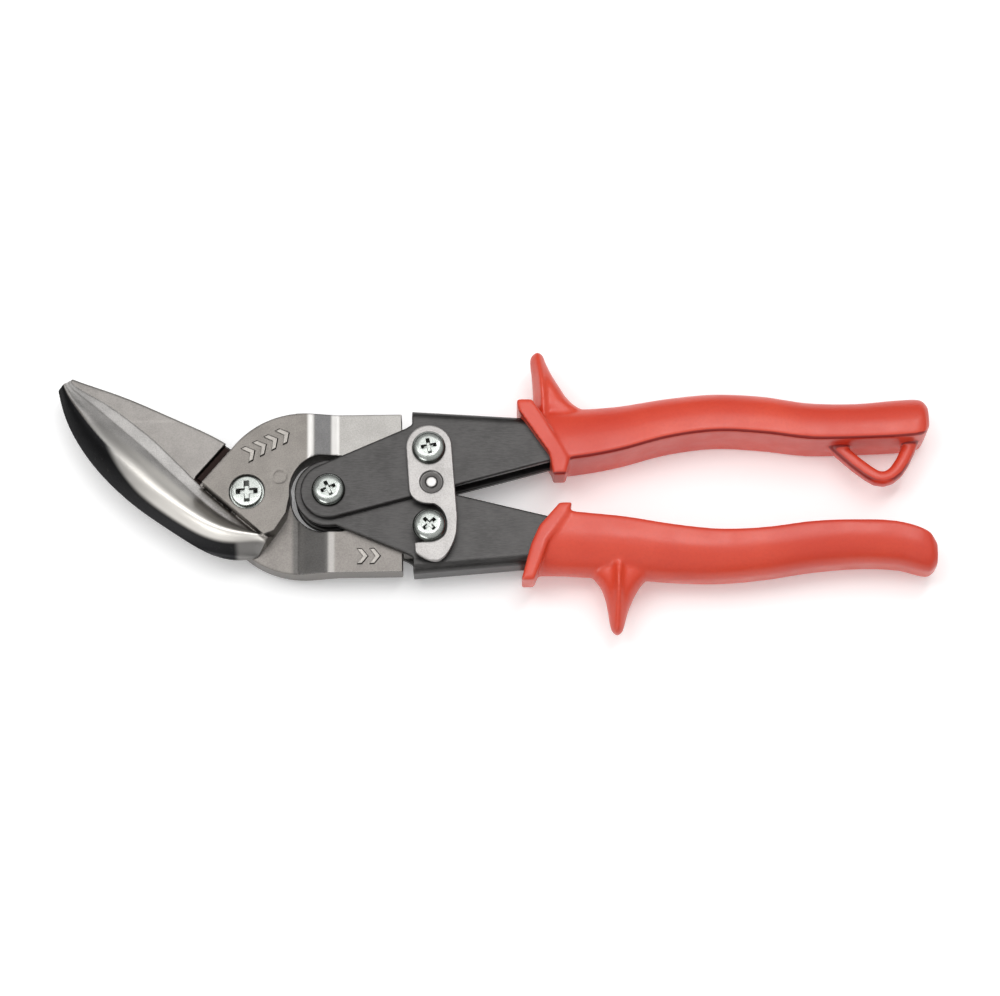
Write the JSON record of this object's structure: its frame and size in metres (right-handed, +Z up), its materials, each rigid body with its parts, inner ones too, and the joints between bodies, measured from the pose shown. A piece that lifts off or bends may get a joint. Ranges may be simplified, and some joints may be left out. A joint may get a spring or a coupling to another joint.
{
  "type": "aviation snips",
  "caption": "Offset left-cutting compound-action aviation snips with crossing forged blades, latch, finger guards and moulded vinyl grips.",
  "frame": {"origin": "centre of the tool's footprint on the floor, the tool lying on its back with the handles latched shut", "axes": "+X from the blades towards the grips, +Y towards the upper handle with the hang loop, +Z up, out of the face with the latch"},
  "size_m": [0.2354, 0.079, 0.0191],
  "materials": {
    "forged_steel": "satin ground",
    "oxide_steel": "black oxide, satin",
    "zinc": "bright zinc plated",
    "spring_steel": "oiled",
    "red_vinyl": "semi-gloss moulded vinyl"
  },
  "bodies": {
    "lower_handle_body": {"lower_handle": "oxide_steel", "lower_grip": "red_vinyl", "handle_pivot_screw": "zinc", "handle_pivot_nut": "zinc", "handle_pivot_bush": "zinc", "handle_spring": "spring_steel", "lower_link_screw": "zinc", "lower_link_nut": "zinc", "lower_link_collar": "zinc"},
    "upper_handle_body": {"upper_handle": "oxide_steel", "upper_grip": "red_vinyl", "upper_link_screw": "zinc", "upper_link_nut": "zinc", "latch_washer": "zinc"},
    "rear_blade_body": {"rear_blade": "forged_steel", "blade_pivot_screw": "zinc", "blade_pivot_washer": "oxide_steel", "blade_pivot_nut": "zinc"},
    "front_blade_body": {"front_blade": "forged_steel"},
    "latch_body": {"latch": "zinc"}
  },
  "joints": [
    {"name": "handle_hinge", "type": "hinge", "parent": "lower_handle_body", "child": "upper_handle_body", "pos_m": [-0.0441, -0.0003, 0.009], "axis": [0, 0, 1], "range_deg": [0, 34], "deforming": ["handle_spring"]},
    {"name": "lower_link_hinge", "type": "hinge", "parent": "lower_handle_body", "child": "rear_blade_body", "pos_m": [-0.0172, -0.0111, 0.009], "axis": [0, 0, 1], "range_deg": [0, 8.1]},
    {"name": "blade_hinge", "type": "hinge", "parent": "rear_blade_body", "child": "front_blade_body", "pos_m": [-0.0659, -0.0003, 0.009], "axis": [0, 0, 1], "range_deg": [0, 18]},
    {"name": "latch_hinge", "type": "hinge", "parent": "upper_handle_body", "child": "latch_body", "pos_m": [-0.0172, 0.0105, 0.0162], "axis": [0, 0, 1], "range_deg": [0, 54.5]}
  ],
  "couplings": [
    {"joint": "lower_link_hinge", "follows": "handle_hinge", "ratio": 0.236},
    {"joint": "blade_hinge", "follows": "handle_hinge", "ratio": 0.528},
    {"joint": "latch_hinge", "follows": "handle_hinge", "ratio": 1.6}
  ]
}
